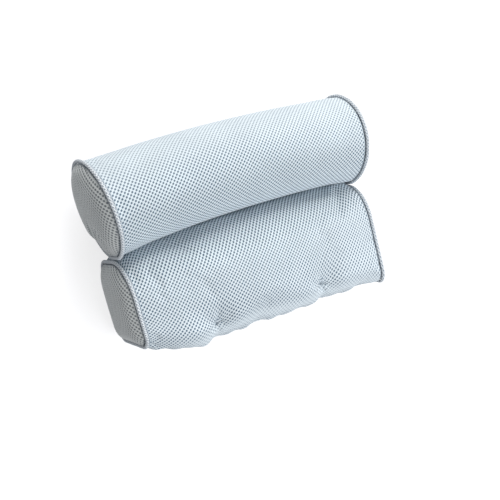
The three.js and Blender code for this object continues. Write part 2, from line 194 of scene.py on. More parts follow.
# A point of the pad: its outline, crowned on three sides and drawn in at the tufts, front and back
def padPoint(turn, x, inset, step=0.0):
    length = (turn % 1) * pad["round"]
    y = np.interp(length, outlineLength, outlineY)
    z = np.interp(length, outlineLength, outlineZ)
    normal = np.interp(length, outlineLength, outlineNormal)
    outY, outZ = np.cos(normal), np.sin(normal)
    top, foot = np.maximum(0, outY), np.maximum(0, -outY)
    front, back = np.maximum(0, outZ), np.maximum(0, -outZ)
    middle = 1 - (x / pad["half"]) ** 2
    broad = 1 - (x / pad["half"]) ** 12
    px = x + 0 * y
    py = y - outY * inset + broad * pad["topCrown"] * top ** 2 - middle * pad["footCrown"] * foot ** 2
    pz = z - outZ * inset + middle * pad["frontCrown"] * front ** 2
    for side in (-1, 1):
        across = px - side * tuft["x"]
        away = np.maximum(0, np.hypot(across, y - tuft["y"]) - tuft["flat"])
        pull = bell(away, tuft["reach"])
        pz = pz + pull * (tuft["backDepth"] * back - tuft["depth"] * front)
        py = py + pad["notch"] * foot * bell(across, tuft["reach"])
    py = py + footSkew(x) * smooth(footForm["reach"], 0, y)
    # The right end's upper shoulder is full and reaches the roll, and its foot corner is drawn out
    shoulder = bell(x - pad["shoulderPlace"], pad["shoulderWidth"])
    py = py + pad["shoulder"] * 2 * top * front * shoulder
    py = py - pad["corner"] * 2 * foot * front * bell(x - pad["half"], pad["cornerWidth"])
    return np.stack([px + step, py, pz], -1)


roll["point"], roll["round"] = rollPoint, 2 * math.pi * (roll["wide"] + roll["deep"]) / 2
pad["point"] = padPoint


def clothSink(cushion, x):
    nearSeam = np.maximum(0, 1 - (cushion["half"] - np.abs(x)) / cloth["draw"])
    return cloth["sink"] + (cloth["seamSink"] - cloth["sink"]) * nearSeam ** 2


# Where the roll's left end panel slumps: a range of turns below a fold, and shares from its middle
slumped = {"turns": (0.38, 0.48, 0.59, 0.63), "shares": (0.1, 0.6)}


# Dome of an end panel, from its rim, share 1, to its middle, share 0: it rises steeply by the seam
# and flattens towards the middle.
def domePoint(cushion, side, turn, share, inset):
    rim = cushion["point"](turn, side * cushion["half"] + 0 * turn, inset, side * cloth["seamGap"])
    middle = rim.reshape(-1, 3).mean(0)
    spot = middle + (rim - middle) * share[..., None]
    slump = cushion["slump"] * (side < 0) * smooth(*slumped["shares"], share)
    slump = slump * band(turn % 1, *slumped["turns"])
    spot[..., 0] += side * cushion["dome"] * (1 - slump) * (1 - share ** cloth["domePower"])
    return spot


def addThing(name, data):
    thing = bpy.data.objects.new(name, data)
    scene.collection.objects.link(thing)
    return thing


# Meshes from grids. Further arguments are values for each point, kept under their names.
def addObject(name, points, faces, corners, uv, material, **attributes):
    points = points.reshape(-1, 3) + np.array([0, shiftY, 0])
    mesh = bpy.data.meshes.new(name)
    mesh.vertices.add(len(points))
    mesh.vertices.foreach_set("co", (points * mm).astype(np.float32).ravel())
    mesh.loops.add(faces.size)
    mesh.loops.foreach_set("vertex_index", faces.astype(np.int32).ravel())
    mesh.polygons.add(len(faces))
    mesh.polygons.foreach_set("loop_start", np.arange(0, faces.size, 4, dtype=np.int32))
    mesh.update(calc_edges=True)
    layer = mesh.uv_layers.new(name="UVMap")
    layer.data.foreach_set("uv", uv.reshape(-1, 2)[corners].astype(np.float32).ravel())
    mesh.polygons.foreach_set("use_smooth", np.ones(len(faces), bool))
    for attribute, values in attributes.items():
        layer = mesh.attributes.new(attribute, "FLOAT", "POINT")
        layer.data.foreach_set("value", values.astype(np.float32).ravel())
    mesh.materials.append(material)
    mesh.validate()
    return addThing(name, mesh)


# Faces of a grid of points. A grid that goes round joins its last column to its first, and its
# texture places have one column more than its points.
def gridFaces(rows, columns, roundRows=False):
    down = rows if roundRows else rows - 1
    i, j = np.meshgrid(np.arange(down), np.arange(columns), indexing="ij")
    row = i.ravel()[:, None] + np.array([0, 0, 1, 1])
    column = j.ravel()[:, None] + np.array([0, 1, 1, 0])
    faces = (row % rows) * columns + column % columns
    corners = row * (columns + 1) + column
    return faces, corners


# Quads across a ring with an even number of points, which close it
def discFaces(count):
    near = np.arange(count // 2 - 1)
    return np.stack([near, near + 1, count - 2 - near, count - 1 - near], 1)


def gridObject(name, grid, uv, material, roundRows=False, flip=False, closeLast=False, **attributes):
    rows, columns = grid.shape[:2]
    faces, corners = gridFaces(rows, columns, roundRows)
    if closeLast:
        disc = discFaces(columns)
        faces = np.concatenate([faces, disc + (rows - 1) * columns])
        corners = np.concatenate([corners, disc + (rows - 1) * (columns + 1)])
    if flip:
        faces, corners = faces[:, ::-1], corners[:, ::-1]
    return addObject(name, grid, faces, corners, uv, material, **attributes)


# Texture places of a grid from those of its columns and rows
def gridUv(columns, rows):
    return np.stack(np.meshgrid(columns, rows), -1)


# Shares of a whole turn, with or without the last
def turnShares(count, withLast=False):
    return np.arange(count + withLast) / count


# Unit normals of a grid that goes round in its columns, turned to point away from its axis
def gridNormals(grid):
    aroundStep = np.roll(grid, -1, 1) - np.roll(grid, 1, 1)
    alongStep = np.gradient(grid, axis=0)
    normal = np.cross(aroundStep, alongStep)
    normal /= np.linalg.norm(normal, axis=-1, keepdims=True) + 1e-9
    outward = grid - grid.mean(axis=1, keepdims=True)
    sign = np.sign((normal * outward).sum())
    return normal * sign


# Weights of a smooth curve through evenly spaced values, for finer places between them
def curveWeights(places, count, goesRound):
    base = np.floor(places).astype(int)
    t = places - base
    parts = [
        0.5 * (-t + 2 * t ** 2 - t ** 3), 0.5 * (2 - 5 * t ** 2 + 3 * t ** 3),
        0.5 * (t + 4 * t ** 2 - 3 * t ** 3), 0.5 * (-t ** 2 + t ** 3),
    ]
    weights = np.zeros((len(places), count))
    for offset, part in zip((-1, 0, 1, 2), parts):
        column = base + offset
        column = column % count if goesRound else np.clip(column, 0, count - 1)
        np.add.at(weights, (np.arange(len(places)), column), part)
    return weights


def unit(vectors):
    return vectors / np.linalg.norm(vectors, axis=-1, keepdims=True)


# Length along a line of points, up to each of them
def lengthAlong(line):
    return np.concatenate([[0], np.cumsum(np.linalg.norm(np.diff(line, axis=0), axis=1))])


def evenLine(line, count, withLast):
    length = lengthAlong(line)
    even = np.linspace(0, length[-1], count, endpoint=withLast)
    return np.stack([np.interp(even, length, line[:, k]) for k in (0, 1)], -1)


# Pits of the holes at a place counted in periods of the cloth, as heights in millimetres: two
# diagonal waves, so that the strands cross between the holes.
def holePits(u, v, depth):
    rising = lattice["strong"] * np.cos(2 * np.pi * (u + v))
    wave = rising + lattice["weak"] * np.cos(2 * np.pi * (u - v))
    return -depth * np.maximum(0, wave) + lattice["ridge"] * depth * np.maximum(0, -wave)


print("shapes ready")


# Materials

def newMaterial(name):
    material = bpy.data.materials.new(name)
    material.use_nodes = True
    tree = material.node_tree
    return material, tree, tree.nodes["Principled BSDF"]


def setAll(thing, settings):
    for key, value in settings.items():
        setattr(thing, key, value)


# Inputs of a node, each set to a value or joined to an output of another node
def feed(tree, node, inputs):
    for key, value in inputs.items():
        if isinstance(value, bpy.types.NodeSocket):
            tree.links.new(value, node.inputs[key])
        else:
            node.inputs[key].default_value = value
    return node


def addNode(tree, kind, inputs, **properties):
    node = tree.nodes.new("ShaderNode" + kind)
    setAll(node, properties)
    return feed(tree, node, inputs)


def mathNode(tree, operation, *values):
    return addNode(tree, "Math", dict(enumerate(values)), operation=operation).outputs[0]


def rampNode(tree, value, low, high):
    inputs = {"Value": value, "From Min": low, "From Max": high}
    return addNode(tree, "MapRange", inputs, interpolation_type="SMOOTHSTEP").outputs["Result"]


def mixNode(tree, share, first, second):
    inputs = {"Factor": share, "A": first, "B": second}
    return addNode(tree, "Mix", inputs, data_type="RGBA").outputs["Result"]


def noiseNode(tree, scale, detail=2):
    place = addNode(tree, "TexCoord", {}).outputs["Object"]
    inputs = {"Vector": place, "Scale": scale, "Detail": detail}
    return addNode(tree, "TexNoise", inputs).outputs["Fac"]


def reliefNode(tree, height, strength, distance):
    inputs = {"Height": height, "Strength": strength, "Distance": distance}
    return addNode(tree, "Bump", inputs).outputs["Normal"]


def uvPlace(tree):
    return addNode(tree, "UVMap", {}, uv_map="UVMap").outputs["UV"]


def pointValue(tree, name):
    return addNode(tree, "Attribute", {}, attribute_name=name).outputs["Fac"]


# Group: from a texture place counted in periods of the cloth, whether a hole is there and the
# height of the strands. Two diagonal waves add up to a hole at each corner and middle of a square,
# and the stronger one draws the holes out into rows.
def latticeGroup():
    tree = bpy.data.node_groups.new("holeLattice", "ShaderNodeTree")
    tree.interface.new_socket("Place", in_out="INPUT", socket_type="NodeSocketVector")
    for name in ("Hole", "Height"):
        tree.interface.new_socket(name, in_out="OUTPUT", socket_type="NodeSocketFloat")
    place = tree.nodes.new("NodeGroupInput").outputs["Place"]
    split = addNode(tree, "SeparateXYZ", {0: place}).outputs
    waves = []
    for operation, weight in (("ADD", lattice["strong"]), ("SUBTRACT", lattice["weak"])):
        diagonal = mathNode(tree, operation, split[0], split[1])
        cosine = mathNode(tree, "COSINE", mathNode(tree, "MULTIPLY", diagonal, 2 * math.pi))
        waves.append(mathNode(tree, "MULTIPLY", cosine, weight))
    both = mathNode(tree, "ADD", *waves)
    feed(tree, tree.nodes.new("NodeGroupOutput"), {
        "Hole": rampNode(tree, both, *lattice["hole"]),
        "Height": rampNode(tree, both, *lattice["strand"]),
    })
    return tree


lattices = latticeGroup()
# The darkest colour here is painted shade along the seams, under the piping and at the tufts
meshLook = {
    "blotch": 28, "fibre": 900, "fibreDetail": 3, "dull": 0.93, "uneven": (0.7, 1.3),
    "paintedShade": (0.10, 0.14, 0.19, 1), "fibreHeight": 0.35, "depth": 0.0006,
    "rough": 0.68, "rougher": 0.25,
    "shader": {"Specular IOR Level": 0.25, "Sheen Weight": 0.12, "Sheen Roughness": 0.5},
}


# Open mesh cloth: pale strands round darker holes, whose colour is painted shade inside them, with fine
# fibres and faint uneven dye
def meshCloth(name, strand, hole, bump):
    material, tree, shader = newMaterial(name)
    holes = addNode(tree, "Group", {"Place": uvPlace(tree)}, node_tree=lattices).outputs
    fine = noiseNode(tree, meshLook["fibre"], meshLook["fibreDetail"])
    uneven = mathNode(tree, "ADD", noiseNode(tree, meshLook["blotch"]), fine)
    dull = (*(meshLook["dull"] * part for part in strand[:3]), 1)
    colour = mixNode(tree, rampNode(tree, uneven, *meshLook["uneven"]), dull, strand)
    # The painted shade of the holes fades where the point values are above 0 and deepens where they are
    # below 0
    left = mathNode(tree, "SUBTRACT", 1.0, pointValue(tree, "holesShut"))
    colour = mixNode(tree, mathNode(tree, "MULTIPLY", holes["Hole"], left), colour, hole)
    # Painted shade: darker along the seams, under the piping and at the pinch of each tuft
    colour = mixNode(tree, pointValue(tree, "seamShade"), colour, meshLook["paintedShade"])
    fibres = mathNode(tree, "MULTIPLY", fine, meshLook["fibreHeight"])
    height = mathNode(tree, "ADD", holes["Height"], fibres)
    rough = mathNode(tree, "MULTIPLY", fine, meshLook["rougher"])
    feed(tree, shader, {
        "Base Color": colour, "Normal": reliefNode(tree, height, bump, meshLook["depth"]),
        "Roughness": mathNode(tree, "ADD", rough, meshLook["rough"]), **meshLook["shader"],
    })
    return material


# Strands, holes (their darker colour is painted shade) and strength of the relief
sleeveCloth = meshCloth("sleeveCloth", (0.80, 0.89, 0.95, 1), (0.09, 0.155, 0.23, 1), 0.5)
endCloth = meshCloth("endCloth", (0.88, 0.92, 0.92, 1), (0.24, 0.27, 0.29, 1), 0.6)
pipingCloth = meshCloth("pipingCloth", (0.84, 0.89, 0.93, 1), (0.38, 0.44, 0.51, 1), 0.8)


# Twisted thread: light plies with painted shade in the groove between them
def threadMaterial():
    material, tree, shader = newMaterial("threadYarn")
    ply = addNode(
        tree, "TexWave", {"Vector": uvPlace(tree), "Scale": 1.1},
        wave_profile="SIN", bands_direction="DIAGONAL",
    ).outputs["Fac"]
    groove, crest = (0.50, 0.60, 0.69, 1), (0.84, 0.90, 0.95, 1)
    feed(tree, shader, {
        "Base Color": mixNode(tree, ply, groove, crest), "Roughness": 0.6, "Sheen Weight": 0.1,
        "Normal": reliefNode(tree, ply, strength=0.5, distance=0.0003),
    })
    return material


# Woven tape: warp and weft threads crossing in a plain weave, darker where the weave is low: painted
# shade
def tapeMaterial():
    material, tree, shader = newMaterial("tapeWeave")
    split = addNode(tree, "SeparateXYZ", {0: uvPlace(tree)}).outputs
    threadWidth = 1.5
    waves = []
    for axis in split[:2]:
        angle = mathNode(tree, "MULTIPLY", axis, math.pi / threadWidth)
        waves.append(mathNode(tree, "SINE", angle))
    height = rampNode(tree, mathNode(tree, "MULTIPLY", *waves), -1, 1)
    low, high = (0.34, 0.43, 0.52, 1), (0.72, 0.80, 0.87, 1)
    feed(tree, shader, {
        "Base Color": mixNode(tree, height, low, high), "Roughness": 0.8, "Sheen Weight": 0.1,
        "Normal": reliefNode(tree, height, strength=0.9, distance=0.0005),
    })
    return material


# Clear soft vinyl with faint moulding ripples
def vinylMaterial():
    material, tree, shader = newMaterial("clearVinyl")
    ripple = noiseNode(tree, scale=160)
    least, more = 0.08, 0.12
    rough = mathNode(tree, "ADD", mathNode(tree, "MULTIPLY", ripple, more), least)
    feed(tree, shader, {
        "Base Color": (0.86, 0.93, 0.95, 1), "Transmission Weight": 0.85, "IOR": 1.5,
        "Roughness": rough, "Normal": reliefNode(tree, ripple, strength=0.12, distance=0.0004),
    })
    return material


threadYarn = threadMaterial()
tapeWeave = tapeMaterial()
clearVinyl = vinylMaterial()
print("materials ready")


# Cloth simulation of a whole cushion, held at its end seams and tufts and blown up from inside

stuffing = {
    "columns": 96, "rows": 80, "rings": 8, "slack": 2.0, "poleStep": 0.4, "seamRows": 8, "frames": 20,
}
clothSettings = {
    "quality": 5, "mass": 0.2, "tension_stiffness": 15, "compression_stiffness": 15,
    "bending_stiffness": 2.0, "use_pressure": True, "uniform_pressure_force": 4.0,
    "vertex_group_mass": "held",
}


# How far a cushion's cloth starts inside its full shape, from where the filling swells it
def startSlack(cushion, x):
    return stuffing["slack"] * (1 - (x / cushion["half"]) ** 4)


def startGrid(cushion):
    turn = turnShares(stuffing["columns"])
    x = np.linspace(-cushion["half"], cushion["half"], stuffing["rows"] + 1)
    turns, places = np.meshgrid(turn, x)
    turns = turns + cushion["twist"] * places / cushion["half"]
    inset = clothSink(cushion, places) + startSlack(cushion, places)
    sleeve = cushion["point"](turns, places, inset)
    shares = np.linspace(0, 1, stuffing["rings"] + 1)[1:-1]
    caps = {}
    for side in (-1, 1):
        rings, around = np.meshgrid(shares, turn + side * cushion["twist"], indexing="ij")
        caps[side] = domePoint(cushion, side, around, rings, cloth["seamSink"])
    return np.concatenate([caps[-1], sleeve, caps[1][::-1]])


# Points that stay in place: both end seams, and the tufts of the pad
def heldPoints(cushion, grid):
    marks = np.zeros(grid.shape[:2], bool)
    marks[stuffing["rings"] - 1] = True
    marks[-stuffing["rings"]] = True
    if cushion is pad:
        for side in (-1, 1):
            away = np.hypot(grid[..., 0] - side * tuft["x"], grid[..., 1] - tuft["y"])
            marks |= away < tuft["held"]
    return np.flatnonzero(marks.ravel()).tolist()


def simulate(cushion, name):
    grid = startGrid(cushion)
    rows, columns = grid.shape[:2]
    faces = gridFaces(rows, columns)[0]
    poles = np.stack([grid[0].mean(0), grid[-1].mean(0)])
    poles[:, 0] += np.array([-1, 1]) * stuffing["poleStep"]
    points = np.concatenate([grid.reshape(-1, 3), poles])
    ring = np.arange(columns)
    after = (ring + 1) % columns
    last = (rows - 1) * columns
    first = np.stack([np.full(columns, rows * columns), after, ring], 1)
    final = np.stack([np.full(columns, rows * columns + 1), last + ring, last + after], 1)
    mesh = bpy.data.meshes.new(name)
    mesh.from_pydata((points * mm).tolist(), [], faces.tolist() + first.tolist() + final.tolist())
    thing = addThing(name, mesh)
    group = thing.vertex_groups.new(name="held")
    group.add(heldPoints(cushion, grid), 1.0, "REPLACE")
    modifier = thing.modifiers.new("stuffing", "CLOTH")
    setAll(modifier.settings, clothSettings)
    # The cover is cut a little larger than its filling
    modifier.settings.shrink_min = -cushion["ease"]
    modifier.settings.effector_weights.gravity = 0
    modifier.collision_settings.use_collision = False
    modifier.point_cache.frame_end = stuffing["frames"]
    for step in range(1, stuffing["frames"] + 1):
        scene.frame_set(step)
    result = thing.evaluated_get(bpy.context.evaluated_depsgraph_get())
    moved = np.empty(len(points) * 3, np.float32)
    result.data.vertices.foreach_get("co", moved)
    scene.frame_set(1)
    bpy.data.objects.remove(thing)
    bpy.data.meshes.remove(mesh)
    return moved.reshape(-1, 3)[:rows * columns].reshape(rows, columns, 3) / mm - grid


def capped(swell, most):
    size = np.linalg.norm(swell, axis=-1, keepdims=True)
    return swell * np.minimum(1, most / np.maximum(size, 1e-6))


# Fine wrinkles are averaged out of a sleeve, away from its seams
def evened(swell, passes):
    start = stuffing["rings"] - 1
    stop = len(swell) - start
    sleeve = swell[start:stop]
    even = sleeve
    for _ in range(passes):
        even = (np.roll(even, -1, 1) + 2 * even + np.roll(even, 1, 1)) / 4
        framed = np.concatenate([even[:1], even, even[-1:]])
        even = (framed[:-2] + 2 * framed[1:-1] + framed[2:]) / 4
    row = np.arange(len(sleeve))[:, None, None]
    inside = smooth(0, stuffing["seamRows"], np.minimum(row, len(sleeve) - 1 - row))
    return np.concatenate([swell[:start], sleeve + inside * (even - sleeve), swell[stop:]])


def stuffed(cushion, name):
    swell = evened(capped(simulate(cushion, name), cushion["swellLimit"]), cushion["evening"])
    print(name, "swells up to", round(float(np.linalg.norm(swell, axis=-1).max()), 2), "mm")
    return swell


swells = {"roll": stuffed(roll, "rollStart"), "pad": stuffed(pad, "padStart")}
print("cushions stuffed")


# Fine surfaces of the cushions

# The cloth is gathered towards the tufts, so places round them move in along the surface.
def gathered(length, x):
    for tuftLength in (0.0, pad["tuftFront"]):
        for side in (-1, 1):
            along = (length - tuftLength + pad["round"] / 2) % pad["round"] - pad["round"] / 2
            across = x - side * tuft["x"]
            pull = tuft["gather"] * bell(np.hypot(along, across), tuft["gatherReach"])
            length = length - along * pull
            x = x - across * pull
    return length, x


# Small forms of the pad: folds that run out from each tuft, a crease down to the foot, and lumps
# of the foot, as heights along the normal.
folds = {
    "rays": 6, "rayHeight": 1.1, "rayRise": (4, 10), "rayReach": 16, "rayTurn": 0.7,
    "pinch": 7, "pinchReach": 6.5,
    "crease": 0.8, "creaseWidth": 4, "creaseBend": 0.35, "creaseBand": (3, 8, 8, 26),
    "lump": 0.9, "lumpBand": (8, 26, 70, 100), "ripple": 0.5, "rippleAcross": 3.1, "rippleAlong": 9,
    "lumpWaves": ((1.0, 8.3, 0.6), (0.8, 4.9, 2.1)),  # strength, length and start of each
}


def padFolds(length, x):
    height = 0 * x
    along = length - pad["tuftFront"]  # grows towards the foot
    for side in (-1, 1):
        across = x - side * tuft["x"]
        away = np.hypot(along, across)
        angle = np.arctan2(along, across)
        fade = smooth(*folds["rayRise"], away) * np.exp(-away / folds["rayReach"])
        rays = np.cos(folds["rays"] * angle + folds["rayTurn"] * side)
        height = height + folds["rayHeight"] * fade * rays
        height = height - folds["pinch"] * bell(away, folds["pinchReach"])
        bend = across - folds["creaseBend"] * np.maximum(0, -along)
        crease = bell(bend, folds["creaseWidth"]) * band(np.abs(along), *folds["creaseBand"])
        height = height - folds["crease"] * crease
    lumps = folds["ripple"] * np.sin(x / folds["rippleAcross"] + length / folds["rippleAlong"])
    for part, wave, start in folds["lumpWaves"]:
        lumps = lumps + part * np.sin(x / wave + start)
    return height + folds["lump"] * band(along, *folds["lumpBand"]) * lumps


pucker = {"height": 0.45, "rise": (1, 5), "reach": 9, "wave": 3.4, "drift": 21}


def seamPuckers(cushion, length, x):
    inside = cushion["half"] - np.abs(x)
    fade = smooth(*pucker["rise"], inside) * np.exp(-inside / pucker["reach"])
    wave = np.sin(length / pucker["wave"] + np.sin(length / pucker["drift"]))
    return pucker["height"] * fade * wave


# The two cushions press on each other along a common face, and neither goes through the surface
# that the pillow lies on.
def pressed(cushion, grid):
    x = grid[..., 0] - roll["slide"]
    middle = 1 - (x / roll["half"]) ** 2
    face = roll["y"] + roll["bow"] * middle - roll["reachY"] + rollPress(x) + cloth["sink"]
    if cushion is roll:
        grid[..., 1] = np.maximum(grid[..., 1], face)
    else:
        grid[..., 1] = np.minimum(grid[..., 1], face - cloth["faceGap"])
    grid[..., 2] = np.maximum(grid[..., 2], cloth["ground"])
    return grid


# The simulated swell at finer places, given as rows of the simulation and as shares of a turn
def fineSwell(swell, rows, turn):
    rowWeights = curveWeights(rows, len(swell), False)
    roundWeights = curveWeights(turn * stuffing["columns"], stuffing["columns"], True)
    return np.einsum("ij,jkc,lk->ilc", rowWeights, swell, roundWeights)


# How far the painted shade in the cloth's holes fades, below 0 where it deepens. Over the top of
# the roll, where the key lamp falls, it fades a little (painted light), and towards the right it
# fades a little too; in the groove between the cushions it deepens (painted shade); and along the
# front of the pad's foot the holes nearly vanish.
holeFadeForm = {
    "top": 0.4, "topTurns": (-0.25, -0.1, 0.06, 0.22), "right": 0.14, "rightRise": (20, 150),
    "groove": -0.6, "grooveTurns": (0.22, 0.38, 0.5, 0.65),
    "grooveUp": (0.2, 0.8), "grooveFront": (-0.3, 0.2),
    "foot": 0.6, "footPlace": 14, "footWidth": 8, "footRise": (-150, -95), "pitLoss": 0.7,
}


def holesShut(cushion, length, x):
    right = holeFadeForm["right"] * smooth(*holeFadeForm["rightRise"], x)
    if cushion is roll:
        turn = (length / roll["round"] + 0.25) % 1 - 0.25
        # Paler over the top of the roll, where the key lamp falls: painted light; darker in the groove:
        # painted shade
        top = band(turn, *holeFadeForm["topTurns"])
        groove = band(turn, *holeFadeForm["grooveTurns"])
        return holeFadeForm["top"] * top + holeFadeForm["groove"] * groove + right * (1 - top)
    normal = np.interp(length % pad["round"], outlineLength, outlineNormal)
    # Darker in the groove under the roll: painted shade; along the foot the holes nearly vanish
    groove = smooth(*holeFadeForm["grooveUp"], np.cos(normal)) * smooth(*holeFadeForm["grooveFront"], np.sin(normal))
    foot = bell(length - pad["tuftFront"] - holeFadeForm["footPlace"], holeFadeForm["footWidth"])
    foot = foot * smooth(*holeFadeForm["footRise"], x)
    return holeFadeForm["groove"] * groove + holeFadeForm["foot"] * foot + right * (1 - foot)


# How dark the painted shade is along a seam, and under it beneath the piping
seamPaintedShade = {"sleeve": 0.5, "sleeveUnder": 0.75, "end": 0.6, "endUnder": 0.9, "width": 1.3}


def makeSleeve(cushion, name, swell):
    samples = lattice["samples"]
    columns = round(cushion["round"] / cushion["period"]) * samples
    rows = round(2 * cushion["half"] / cushion["period"]) * samples
    turn = turnShares(columns)
    reach = cushion["half"] - cloth["edge"]
    x = np.linspace(-reach, reach, rows + 1)
    turns, places = np.meshgrid(turn, x)
    length = (turns + cushion["twist"] * places / cushion["half"]) * cushion["round"]
    if cushion is pad:
        length, places = gathered(length, places)
    slack = startSlack(cushion, places)
    inset = clothSink(cushion, places) + slack
    grid = cushion["point"](length / cushion["round"], places, inset)
    sleeveSwell = swell[stuffing["rings"] - 1:-stuffing["rings"] + 1]
    grid = grid + fineSwell(sleeveSwell, (x / cushion["half"] + 1) / 2 * stuffing["rows"], turn)
    height = seamPuckers(cushion, length, places)
    if cushion is pad:
        height = height + padFolds(length, places)
    grid = pressed(cushion, grid + gridNormals(grid) * height[..., None])
    i, j = np.meshgrid(np.arange(rows + 1), np.arange(columns), indexing="ij")
    pits = holePits(j / samples, i / samples, lattice["pit"])
    # How far the holes' painted shade fades (painted light) or deepens (painted shade); the pits grow
    # shallower where it fades
    holeFade = holesShut(cushion, length, places)
    pits = pits * smooth(0, lattice["seamFade"], reach - np.abs(places))
    pits = pits * (1 - holeFadeForm["pitLoss"] * np.maximum(0, holeFade))
    grid = grid + gridNormals(grid) * pits[..., None]
    # Both edges turn down beside the piping and meet the end panel under it
    bottom = (0, cloth["tuck"])
    halfway = (cloth["halfEdge"] * cloth["edge"], cloth["halfTuck"] * cloth["tuck"])
    lines = []
    for side, (back, inset) in ((-1, bottom), (-1, halfway), (1, halfway), (1, bottom)):
        place = 0 * turn + side * (cushion["half"] - back)
        lines.append(cushion["point"](turn + side * cushion["twist"], place, inset + 0 * turn))
    grid = np.concatenate([lines[:2], grid, lines[2:]])
    # Painted shade along both seams, under the piping and at the pinch of each tuft
    shade = seamPaintedShade["sleeve"] * bell(reach - np.abs(x[:, None] + 0 * turns), seamPaintedShade["width"])
    if cushion is pad:
        for side in (-1, 1):
            away = np.hypot(places - side * tuft["x"], length - pad["tuftFront"])
            shade = np.maximum(shade, tuft["dark"] * bell(away, tuft["darkReach"]))
    under = 0 * shade[:2] + seamPaintedShade["sleeveUnder"]
    shade = np.concatenate([under, shade, under])
    holeFade = np.concatenate([holeFade[:2], holeFade, holeFade[-2:]])
    uv = gridUv(np.arange(columns + 1) / samples, np.arange(-2, rows + 3) / samples)
    return gridObject(name, grid, uv, sleeveCloth, flip=True, seamShade=shade, holesShut=holeFade)


endForm = {
    "columns": 480, "rim": 0.92, "rimRings": 8, "rings": 72, "pole": 0.01, "inset": 0.9, "pitRim": 0.9,
}


# An end panel: rings of its dome from the rim to a small hole, which a disc closes
def makeEnd(cushion, side, name, swell):
    turn = turnShares(endForm["columns"])
    rimShares = np.linspace(1, endForm["rim"], endForm["rimRings"])[:-1]
    shares = np.concatenate([rimShares, np.linspace(endForm["rim"], endForm["pole"], endForm["rings"])])
    around = turn + side * cushion["twist"]
    rings, turns = np.meshgrid(shares, around, indexing="ij")
    grid = domePoint(cushion, side, turns, rings, cloth["bead"] + endForm["inset"])
    capSwell = swell[:stuffing["rings"] - 1] if side < 0 else swell[-stuffing["rings"] + 1:][::-1]
    known = np.concatenate([capSwell[:1] * 0 + capSwell[0].mean(0), capSwell, capSwell[:1] * 0])
    grid = grid + fineSwell(known, shares * stuffing["rings"], turn)
    inPeriods = grid[..., 1:] / cushion["period"]
    pits = holePits(inPeriods[..., 0], inPeriods[..., 1], lattice["endPit"])
    grid[..., 0] += side * pits * smooth(1, endForm["pitRim"], rings)
    edge = cushion["point"](around, 0 * turn + side * cushion["half"], cloth["tuck"] + 0 * turn)
    grid = np.concatenate([edge[None], grid])
    uv = np.concatenate([grid, grid[:, :1]], 1)[..., 1:] / cushion["period"]
    # Painted shade along the seam and under the piping
    fromSeam = (1 - rings) * cushion["round"] / (2 * np.pi)
    under = 0 * rings[:1] + seamPaintedShade["endUnder"]
    shade = np.concatenate([under, seamPaintedShade["end"] * bell(fromSeam, seamPaintedShade["width"])])
    return gridObject(name, grid, uv, endCloth, flip=side > 0, closeLast=True, seamShade=shade)


tube = {
    "columns": 640, "sides": 20, "period": 4.0, "across": 3, "inset": 0.6,
    "uneven": 0.05, "wave": 4.3, "drift": 17,
}


# Piping: a tube round an end seam, a little uneven and covered in the same cloth
def makePiping(cushion, side, name):
    columns, sides, across = (tube[key] for key in ("columns", "sides", "across"))
    turns, angles = np.meshgrid(turnShares(columns), 2 * np.pi * turnShares(sides), indexing="ij")
    length = turns * cushion["round"]
    around = round(cushion["round"] / tube["period"])
    uneven = np.sin(length / tube["wave"]) * np.sin(length / tube["drift"] + side)
    radius = cloth["bead"] * (1 + tube["uneven"] * uneven)
    radius = radius + holePits(across * angles / (2 * np.pi), turns * around, lattice["pipingPit"])
    inset = tube["inset"] - radius * np.sin(angles)
    place = side * cushion["half"] + 0 * turns
    grid = cushion["point"](turns, place, inset, radius * np.cos(angles))
    uv = gridUv(turnShares(sides, True) * across, turnShares(columns, True) * around)
    return gridObject(name, grid, uv, pipingCloth, roundRows=True)


for cushion, body in ((roll, "roll"), (pad, "pad")):
    sleeve = makeSleeve(cushion, body + "Sleeve", swells[body])
    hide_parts(body + "_sleeve", body + "_filling")
    pieces = [sleeve]
    for side, sideName in sideNames.items():
        node = sideName.lower()
        end = makeEnd(cushion, side, body + "End" + sideName, swells[body])
        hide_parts(f"{body}_end_{node}")
        piping = makePiping(cushion, side, body + "Piping" + sideName)
        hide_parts(f"{body}_piping_{node}", f"{body}_piping_cord_{node}")
        pieces += [end, piping]
    for piece in pieces:
        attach(piece, body)
    print(body, "made")


# Ties through the tufts: a loop of twisted thread with rounded corners

tie = {
    "halfSpan": 3.2, "bend": 1.6, "eye": 12.65, "radius": 0.9, "ride": 0.5, "steps": 400, "sides": 14,
    "plyLength": 4, "plyDepth": 0.14, "around": 4,
}


# The loop in x and z, up to a height, and its length
def tieLoop(top):
    half, bend = tie["halfSpan"], tie["bend"]
    corners = [
        (half - bend, tie["eye"] + bend, -90), (half - bend, top - bend, 0),
        (bend - half, top - bend, 90), (bend - half, tie["eye"] + bend, 180),
    ]
    count = 9
    turns = [np.linspace(start, start + 90, count) for *place, start in corners]
    angles = np.radians(np.concatenate(turns))
    centres = np.repeat([corner[:2] for corner in corners], count, axis=0)
    line = centres + bend * np.stack([np.cos(angles), np.sin(angles)], -1)
    line = np.concatenate([line, line[:1]])
    return evenLine(line, tie["steps"], False), lengthAlong(line)[-1]


# Height of the pad's front cloth at the bottom of a tuft
def tuftBottom(side):
    mesh = bpy.data.objects["padSleeve"].data
    points = np.empty(len(mesh.vertices) * 3, np.float32)
    mesh.vertices.foreach_get("co", points)
    points = points.reshape(-1, 3) / mm
    away = np.hypot(points[:, 0] - side * tuft["x"], points[:, 1] - shiftY - tuft["y"])
    inFront = points[:, 2] > pad["lift"] + pad["thick"] / 2
    return float(points[(away < tuft["bottom"]) & inFront, 2].max())


